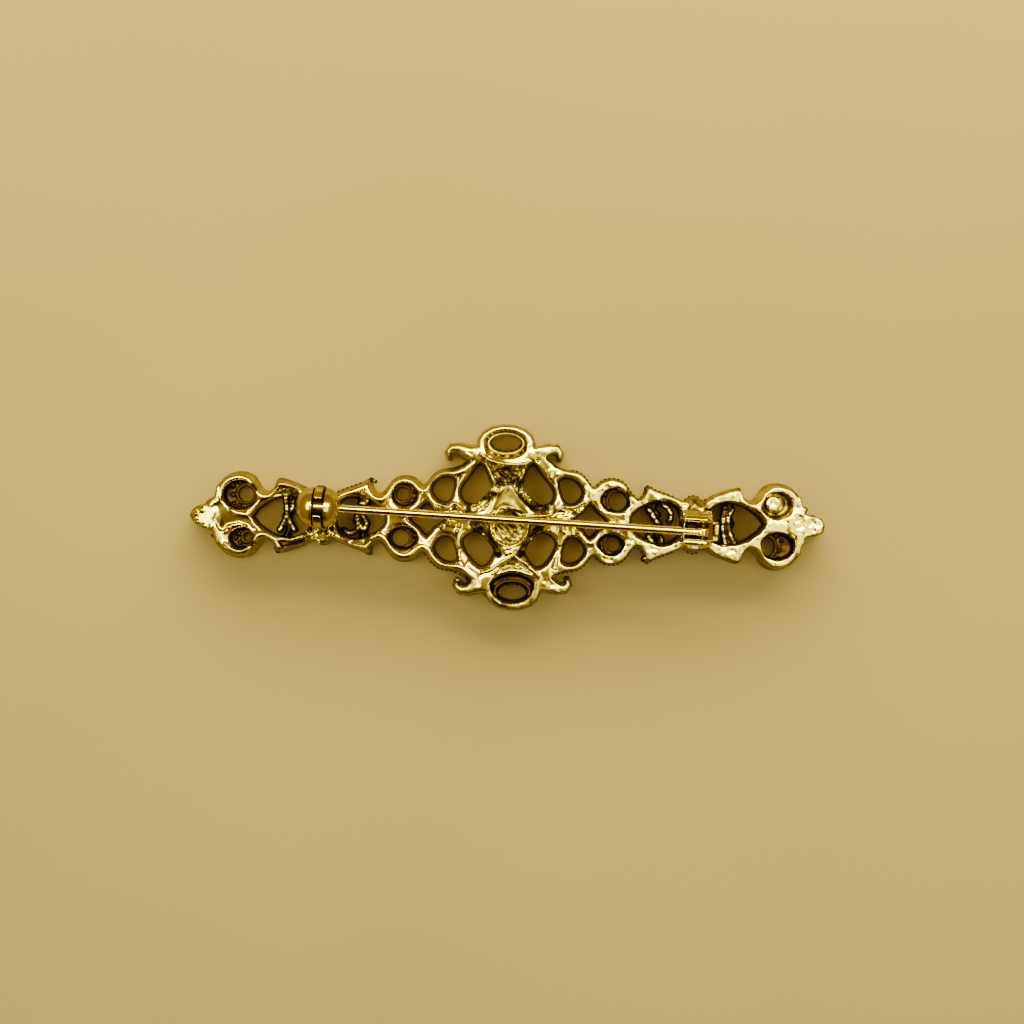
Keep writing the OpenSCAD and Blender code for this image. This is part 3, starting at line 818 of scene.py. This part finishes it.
def bracket_field(x, y, z):
    """Two lugs with a web between them, and the fillet that solders them to the casting."""
    disc = LUG_RADIUS - np.hypot(x, z)
    column = meet(slab(x, -0.2, LUG_RADIUS, 0.1), -z, 0.1)
    tail = slab(x, -LUG_LENGTH, 0.3, 0.2)
    tail = meet(tail, (LUG_RADIUS - z + 0.25 * np.minimum(x, 0)) * 0.97, 0.25)
    profile = np.maximum(np.maximum(disc, column), tail)
    solid = np.full(x.shape, -3.0)
    for low, high in (UPPER_LUG, LOWER_LUG):
        side = slab(y, low, high, 0.4)
        solid = np.maximum(solid, meet(profile - 0.6 * np.clip(y - UPPER_CREST, 0, 1), side, 0.45))
    inner, lower = UPPER_LUG[0], LOWER_LUG[1]
    slope = UPPER_FILLET[1] - 1.8 * np.clip(y - UPPER_LUG[1], 0, 1) - z
    solder = block(x, y, z, (-LUG_LENGTH, inner, BASE - 1), (LUG_RADIUS, UPPER_FILLET[0], 0), 0.3)
    solid = join(solid, meet(solder, 0.6 * slope, 0.2), 0.15)
    web = block(x, y, z, (WEB[0], lower - 0.2, BASE - 1), (WEB[1], inner + 0.2, BASE), 0.15)
    lip = block(x, y, z, (LIP[0], LIP[2], BASE - 1), (LIP[1], LIP[3], BASE + LIP[4]), 0.25)
    solid = join(solid, join(web, lip, 0.15), 0.12)
    return meet(solid, z - BASE + SINK, 0.1)


def bracket_painted_shade(x, y, z):
    """Painted shade between the lugs, on the upper lug's outer half and where they meet the casting."""
    across = ramp(y, LOWER_LUG[1] - 0.15, LOWER_LUG[1]) * ramp(UPPER_LUG[0] + 0.15 - y, 0, 0.15)
    recess = across * ramp(-1.0 - z, 0, 0.8) * ramp(LIP[0] - x, -0.1, 0.1)
    # Painted shade on the outer half of the upper lug
    upper_lug_shade = 0.32 * ramp(y, UPPER_LUG[1] - 0.4, UPPER_LUG[1] - 0.15)
    return np.maximum(np.maximum(recess, upper_lug_shade), 0.7 * ramp(BASE + 0.15 - z, 0, 0.3))


# The catch's fixed ring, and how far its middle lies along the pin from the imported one's
RING_WIDTH = 1.1
RING_SHOWN = 0.95
RING_RADIUS = 2.54
RING_HOLE = 1.45
RING_SLOT = 2.0
RING_SHIFT = 0.4
POST_HALF = 1.1
FOOT_LENGTH = 4.1
ARM_WIDTH = 1.0
TOE_WIDTH = 1.2
TOE_LENGTH = 1.0
# Bright bars on the foot: both ends on the photograph, radius; and the level of their middles
FOOT_BARS = [
    ((313.9, 527.5), (314.3, 540.3), 0.19), ((314.3, 540.3), (319.2, 540.3), 0.2),
    ((319.0, 540.5), (319.3, 542.8), 0.14), ((315.0, 532.3), (320.5, 528.8), 0.16),
    ((323.5, 529), (328.5, 527.5), 0.14),
]
BAR_LEVEL = BASE + 0.12


def hinge_frame(px, py):
    """Along and across the pin from the middle of the ring, of a place on the photograph."""
    place = np.array(photo_point(px, py)) - np.array(HINGE[:2])
    back = np.array(Matrix.Rotation(-PIN_TURN, 2))
    return back @ place + np.array((PIN_REACH - RING_SHIFT, 0))


def catch_field(x, y, z):
    """The catch's fixed ring, with the slot in its top, its block and its foot on the lower rail."""
    x = x + PIN_REACH - RING_SHIFT
    away = np.hypot(y, z)
    ring = meet(meet(RING_RADIUS - away, away - RING_HOLE, 0.12),
                slab(x, -RING_SHOWN / 2, RING_SHOWN / 2, 0.12), 0.12)
    slot = block(x, y, z, (-2, -RING_SLOT / 2, 0), (2, RING_SLOT / 2, 4), 0.12)
    solid = meet(ring, -slot, 0.12)
    low = BASE - SINK
    top = BASE - 0.05

    def upright(width, near, far, high, k):
        return block(x, y, z, (-width / 2, near, low), (width / 2, far, high), k)

    post = upright(RING_WIDTH, -POST_HALF, POST_HALF, BASE + 0.6, 0.15)
    arm = upright(ARM_WIDTH, -FOOT_LENGTH, 0, top, 0.25)
    toe = upright(TOE_WIDTH, -FOOT_LENGTH, TOE_LENGTH - FOOT_LENGTH, top, 0.3)
    for part in (post, arm):
        solid = join(solid, meet(part, away - RING_HOLE, 0.1), 0.2)
    solid = join(solid, toe, 0.25)
    for start, end, radius in FOOT_BARS:
        away = from_line(x, y, hinge_frame(*start), hinge_frame(*end))
        solid = join(solid, radius - np.hypot(away, z - BAR_LEVEL), 0.06)
    return solid


def catch_painted_shade(x, y, z):
    """Painted shade on the ring's faces beside the ball, on its sides, in its hole and round its foot."""
    away = np.hypot(y, z)
    face = ramp(np.abs(x + PIN_REACH - RING_SHIFT), RING_SHOWN / 2 - 0.1, RING_SHOWN / 2)
    hollow = ramp(RING_RADIUS - away, 0.15, 0.5)
    low = ramp(BASE + 0.1 - z, 0, 0.12)
    # Painted shade on the ring's steep sides, darkest along its edge on the +Y side
    steep = 0.33 * ramp(np.abs(y), 1.1, 1.9) + 0.4 * ramp(y, 2.25, 2.4)
    return np.maximum(np.maximum(np.maximum(0.8 * face, steep), hollow) * (z > BASE + 0.3), 0.8 * low)


# The ball as the photograph shows it, fuller than a true ball: its radius, its half length, the power of its
# curve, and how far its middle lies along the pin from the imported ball's
BALL_SHOWN = 2.34
BALL_LENGTH = 2.53
BALL_FULLNESS = 2.7
BALL_SHIFT = 0.25
# The ball's inner faces leave a gap beside the fixed ring, a little wider where it is rounded at its edges
RUNNING_GAP = 0.08
BALL_FACE = RING_WIDTH / 2 + RUNNING_GAP + 0.04
SLEEVE = RING_HOLE - RUNNING_GAP
PIN_HOLE = 0.53
BORE_BACK = 1.9
BALL_SLOT = 1.06
SLOT_TURN = math.radians(110)


def ball_field(x, y, z):
    """The two halves of the ball and their sleeve, with the bore and the slot for the pin."""
    from_ring = np.abs(x + PIN_REACH - RING_SHIFT)
    x = x + PIN_REACH - BALL_SHIFT
    away = np.hypot(y, z)
    power = BALL_FULLNESS
    ball = BALL_SHOWN * (
        1 - ((away / BALL_SHOWN) ** power + (np.abs(x) / BALL_LENGTH) ** power) ** (1 / power))
    halves = meet(ball, from_ring - BALL_FACE, 0.16)
    sleeve = meet(SLEEVE - away, BALL_FACE + 0.2 - from_ring, 0.1)
    solid = np.maximum(halves, sleeve)
    bore = meet(PIN_HOLE - away, x + BORE_BACK, 0.1)
    up = -y * math.sin(SLOT_TURN) + z * math.cos(SLOT_TURN)
    across = y * math.cos(SLOT_TURN) + z * math.sin(SLOT_TURN)
    slot = meet(BALL_SLOT / 2 - np.abs(across), meet(up, x + BORE_BACK, 0.05), 0.05)
    return meet(meet(solid, -bore, 0.12), -slot, 0.12)


def ball_painted_shade(x, y, z):
    """Painted shade in the gaps beside the fixed ring, on the sleeve, in the bore, in the slot and on the
    rim.
    """
    from_ring = np.abs(x + PIN_REACH - RING_SHIFT)
    x = x + PIN_REACH - BALL_SHIFT
    inside_ball = ramp(BALL_FACE + 0.1 - from_ring, 0, 0.1) * ramp(BALL_SHOWN - np.hypot(y, z), 0.05, 0.2)
    # A bar along the sleeve's top, under the ring's slot, is left clear of the painted shade
    bar = fade(np.abs(y - 0.05), 0.1, 0.22) * (from_ring < BALL_FACE - 0.1)
    # Painted shade on the ball's rim, dimming its reflection of the floor
    rim_shade = 0.36 * ramp(np.hypot(x, y), 1.2, 2.0)
    return np.maximum(rim_shade, inside_ball * (1 - 0.9 * bar * ramp(z, 0, 1)))


RIVET_RADIUS = 0.35
DOME_RADIUS = 0.6
DOME_HEIGHT = 0.2


def rivet_field(x, y, z):
    """The rivet through the lugs, with a low dome at each end."""
    away = np.hypot(x, z)
    low, high = LOWER_LUG[0], UPPER_LUG[1]
    solid = meet(RIVET_RADIUS - away, slab(y, low, high, 0.05), 0.05)
    for out in (y - (high + 0.03), -(y - (low - 0.03))):
        dome = meet(DOME_HEIGHT * (1 - (away / DOME_RADIUS) ** 2) + 0.03 - out, out, 0.04)
        solid = np.maximum(solid, dome)
    return solid


def rivet_painted_shade(x, y, z):
    """Painted shade on the rivet between the lugs."""
    return 0.9 * ramp(y, LOWER_LUG[1] - 0.1, LOWER_LUG[1]) * ramp(UPPER_LUG[0] + 0.1 - y, 0, 0.1)


# The eye as the photograph shows it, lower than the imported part's, with the rounded end of the heel over it
EYE_SHOWN = 0.62
EYE_WIDTH = 1.0
HEEL_RADIUS = 0.475
HEEL_END = 0.62
RIVET_ROOM = 0.38
# The wire from the hinge to its point: distance from the hinge, radius
WIRE = [
    (0.9, 0.46), (1.0, HEEL_RADIUS), (3.0, HEEL_RADIUS), (3.5, 0.47), (4.1, 0.455), (4.6, 0.445), (12, 0.445),
    (24, 0.445), (36, 0.445), (41.6, 0.44), (42.6, 0.38), (43.6, 0.29), (44.6, 0.19), (45.7, 0.1),
    (46.25, 0.05), (46.4, 0.01),
]

WIRE_SIDES = 32


def eye_field(x, y, z):
    """The eye round the rivet, and the end of the heel."""
    away = np.hypot(x, z)
    side = slab(y, -EYE_WIDTH / 2, EYE_WIDTH / 2, 0.2)
    disc = meet(EYE_SHOWN - away, side, 0.3)
    past = np.maximum(x - HEEL_END + HEEL_RADIUS, 0)
    heel = meet(HEEL_RADIUS - np.sqrt(past ** 2 + y ** 2 + z ** 2), x + 1.2, 0.03)
    return meet(join(disc, heel, 0.15), away - RIVET_ROOM, 0.05)


def make_pin():
    """The pin's wire as a turned shape, and its eye."""
    turn = np.linspace(0, 2 * math.pi, WIRE_SIDES, endpoint=False)
    points = [(-reach, radius * math.cos(a), radius * math.sin(a)) for reach, radius in WIRE for a in turn]
    n = WIRE_SIDES
    last = (len(WIRE) - 1) * n
    faces = [
        (ring + k, ring + (k + 1) % n, ring + (k + 1) % n + n, ring + k + n)
        for ring in range(0, last, n) for k in range(n)
    ]
    faces += [list(range(n))[::-1], list(range(last, last + n))]
    wire = make_object("pin_wire", to_row_frame(np.array(points)) * MM, faces)
    wire.data.shade_smooth()
    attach(wire, "pin")
    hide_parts("pin_stem")
    return wire, fitting("pin_eye", eye_field, (-1.4, -0.7, -0.9), (0.9, 0.7, 0.9), 0.05, "pin")


# Materials
GOLD = (0.82, 0.66, 0.07, 1)
PALE_GOLD = (0.90, 0.80, 0.14, 1)
WARM_GOLD = (0.68, 0.49, 0.03, 1)
# Dark brown of the patina, also used for painted shade, and its roughness
PATINA_AND_SHADE = (0.034, 0.0165, 0.003, 1)
PATINA_AND_SHADE_ROUGHNESS = 0.42
# Scale of the noise in them, for each metre
BROAD = 420
FINE = 2600


def new_material(name):
    material = bpy.data.materials.new(name)
    material.use_nodes = True
    return material, material.node_tree, material.node_tree.nodes["Principled BSDF"]


def noise_node(tree, scale, detail):
    made = tree.nodes.new("ShaderNodeTexNoise")
    made.inputs["Scale"].default_value = scale
    made.inputs["Detail"].default_value = detail
    tree.links.new(tree.nodes.new("ShaderNodeNewGeometry").outputs["Position"], made.inputs["Vector"])
    return made.outputs["Fac"]


def ramp_node(tree, value, stops):
    made = tree.nodes.new("ShaderNodeValToRGB")
    elements = made.color_ramp.elements
    while len(elements) < len(stops):
        elements.new(0.5)
    for element, (position, colour) in zip(elements, stops):
        element.position = position
        element.color = colour if isinstance(colour, tuple) else (colour, colour, colour, 1)
    tree.links.new(value, made.inputs["Fac"])
    return made.outputs["Color"]


def link_or_set(tree, value, socket):
    """Links another node's output to a socket, or sets the socket to a number or a colour."""
    if isinstance(value, bpy.types.NodeSocket):
        tree.links.new(value, socket)
    else:
        socket.default_value = value


def math_node(tree, operation, *values):
    made = tree.nodes.new("ShaderNodeMath")
    made.operation = operation
    for value, socket in zip(values, made.inputs):
        link_or_set(tree, value, socket)
    return made.outputs["Value"]


def mix_node(tree, share, a, b):
    """Colour that goes from a to b with the share."""
    made = tree.nodes.new("ShaderNodeMix")
    made.data_type = "RGBA"
    for name, value in (("Factor", share), ("A", a), ("B", b)):
        link_or_set(tree, value, made.inputs[name])
    return made.outputs["Result"]


def gold(name, tones, roughness, bump_strength):
    """Gold plate in three tones, with dark brown patina and painted shade where the mesh's own attribute asks
    for it.
    """
    material, tree, shader = new_material(name)
    shader.inputs["Metallic"].default_value = 1.0
    tint = ramp_node(tree, noise_node(tree, BROAD, 3), list(zip((0.32, 0.55, 0.75), tones)))
    fine = noise_node(tree, FINE, 4)
    patina_and_shade = tree.nodes.new("ShaderNodeAttribute")
    patina_and_shade.attribute_name = "patina_and_shade"
    spread = math_node(tree, "MULTIPLY_ADD", fine, 0.3, patina_and_shade.outputs["Fac"])
    share = ramp_node(tree, spread, [(0.25, 0), (0.55, 0.6), (0.85, 1)])
    tree.links.new(mix_node(tree, share, tint, PATINA_AND_SHADE), shader.inputs["Base Color"])
    rough = math_node(tree, "MULTIPLY_ADD", share, PATINA_AND_SHADE_ROUGHNESS - roughness, roughness)
    tree.links.new(rough, shader.inputs["Roughness"])
    bump = tree.nodes.new("ShaderNodeBump")
    bump.inputs["Strength"].default_value = bump_strength
    bump.inputs["Distance"].default_value = 0.03 * MM
    tree.links.new(fine, bump.inputs["Height"])
    tree.links.new(bump.outputs["Normal"], shader.inputs["Normal"])
    return material


def floor_paper():
    """Pale khaki paper."""
    material, tree, shader = new_material("floor_paper")
    shader.inputs["Roughness"].default_value = 0.9
    tones = [(0.3, (0.55, 0.395, 0.072, 1)), (0.7, (0.59, 0.425, 0.082, 1))]
    tree.links.new(ramp_node(tree, noise_node(tree, 12, 2), tones), shader.inputs["Base Color"])
    return material


def give(material, *objects):
    for made in objects:
        made.data.materials.clear()
        made.data.materials.append(material)


# The pieces
casting = make_casting()
bracket = fitting(
    "hinge_bracket", bracket_field, (-2.8, -2.1, -3.8), (2.6, 2.5, 1.6), 0.07,
    "frame", darkness=bracket_painted_shade)
catch = fitting(
    "catch_ring", catch_field, (-PIN_REACH - 1.4, -4.5, -3.8), (-PIN_REACH + 1.4, 2.8, 2.8), 0.06,
    "frame", darkness=catch_painted_shade)
ball = fitting(
    "locking_ball_halves", ball_field, (-PIN_REACH - 2.7, -2.7, -2.7), (-PIN_REACH + 2.7, 2.7, 2.7), 0.06,
    "ball", ("locking_ball",), ball_painted_shade)
rivet = fitting(
    "rivet_heads", rivet_field, (-0.9, -2.1, -0.9), (0.9, 2.6, 0.9), 0.05,
    "frame", ("rivet",), rivet_painted_shade)
pin_wire, pin_eye = make_pin()

give(gold("antique_gold", (WARM_GOLD, GOLD, PALE_GOLD), 0.13, 0.12), casting, bracket)
give(gold("bright_gold", (WARM_GOLD, GOLD, GOLD), 0.13, 0.1), catch, ball, rivet)
give(gold("pin_wire", (GOLD, GOLD, PALE_GOLD), 0.12, 0.08), pin_wire, pin_eye)


# Floor, lights and camera
FLOOR_HALF = 0.8


def make_floor():
    corners = FLOOR_HALF * np.array([(-1, -1, 0), (1, -1, 0), (1, 1, 0), (-1, 1, 0)])
    floor = make_object("floor", corners, [(0, 1, 2, 3)])
    give(floor_paper(), floor)
    return floor


# Softboxes that light the brooch, and those that light the floor: place, width, depth, brightness, colour
BROOCH_LIGHTS = {
    "overhead_back": ((0.02, 0.12, 0.42), 0.6, 0.13, 26.0, (1.0, 0.99, 0.52)),
    "overhead_right": ((0.165, -0.08, 0.42), 0.21, 0.21, 3.5, (1.0, 0.99, 0.54)),
    "overhead_left": ((-0.265, -0.015, 0.42), 0.09, 0.21, 11.0, (1.0, 0.99, 0.54)),
}
FLOOR_LIGHTS = {
    "floor_back": ((0.03, 0.33, 0.1), 0.9, 0.14, 21.0, (1.0, 0.93, 0.68)),
    "floor_front": ((0, -0.6, 0.2), 1.2, 0.3, 2.6, (0.76, 0.87, 1.0)),
    "floor_left": ((-0.6, 0, 0.16), 0.4, 0.8, 2.3, (0.76, 0.88, 1.0)),
    "floor_right": ((0.6, 0, 0.16), 0.4, 0.8, 2.7, (0.76, 0.88, 1.0)),
    "floor_over": ((-0.034, 0.008, 0.045), 0.02, 0.02, 2.8, (1.0, 0.94, 0.78)),
}


def softbox(name, place, width, depth, brightness, colour, floor, on_floor):
    """A flat light that shines down on all but the floor, or one that is turned to the floor alone."""
    light = bpy.data.lights.new(name, "AREA")
    light.shape = "RECTANGLE"
    light.size = width
    light.size_y = depth
    light.energy = brightness * math.pi * width * depth
    light.color = colour
    made = add_object(name, light)
    made.location = place
    if on_floor:
        made.rotation_euler = (-Vector(place)).to_track_quat("-Z", "Y").to_euler()
    lit = bpy.data.collections.new(name + "_lit")
    lit.objects.link(floor)
    if not on_floor:
        lit.collection_objects[0].light_linking.link_state = "EXCLUDE"
    made.light_linking.receiver_collection = lit


# The room round the brooch: its colour, the colour where its floor ends, and the dark figure in front
ROOM = (0.32, 0.21, 0.08, 1)
HORIZON = (0.38, 0.26, 0.075, 1)
FIGURE = (0.045, 0.009, 0.003, 1)
# Where the figure stands: shares of the way from -1 to 1 in the directions' X and Y, and its strength there
FIGURE_X = ((0.27, 0), (0.33, 1), (0.60, 1), (0.68, 0))
FIGURE_Y = ((0.38, 1), (0.46, 0))
# What the camera sees behind the floor in the side views
BACKDROP = (0.6, 0.48, 0.24, 1)


def make_world():
    """A dim room, paler near the horizon, with a dark figure, and the backdrop for the camera's own rays."""
    world = bpy.data.worlds.new("studio")
    world.use_nodes = True
    tree = world.node_tree
    direction = tree.nodes.new("ShaderNodeSeparateXYZ")
    tree.links.new(tree.nodes.new("ShaderNodeTexCoord").outputs["Generated"], direction.inputs[0])
    x, y = [
        ramp_node(tree, math_node(tree, "MULTIPLY_ADD", direction.outputs[axis], 0.5, 0.5), stops)
        for axis, stops in (("X", FIGURE_X), ("Y", FIGURE_Y))
    ]
    height = ramp_node(tree, direction.outputs["Z"], [(0.05, 0), (0.2, 1)])
    room = mix_node(tree, height, HORIZON, ROOM)
    whole = mix_node(tree, math_node(tree, "MULTIPLY", x, y), room, FIGURE)
    seen = mix_node(tree, tree.nodes.new("ShaderNodeLightPath").outputs["Is Camera Ray"], whole, BACKDROP)
    tree.links.new(seen, tree.nodes["Background"].inputs["Color"])
    bpy.context.scene.world = world


floor = make_floor()
for lights, on_floor in ((BROOCH_LIGHTS, False), (FLOOR_LIGHTS, True)):
    for name, values in lights.items():
        softbox(name, *values, floor, on_floor)
make_world()

camera_data = bpy.data.cameras.new("camera")
camera_data.sensor_width = 36
camera_data.lens = camera_data.sensor_width * CAMERA_HEIGHT / (PHOTO_SIZE * PIXEL_MM)
camera_data.clip_start = 0.01
camera = add_object("camera", camera_data)
camera.location = (CAMERA_X * MM, CAMERA_Y * MM, CAMERA_HEIGHT * MM)
camera.rotation_euler = Euler((0, 0, BAR_TILT))
bpy.context.scene.camera = camera
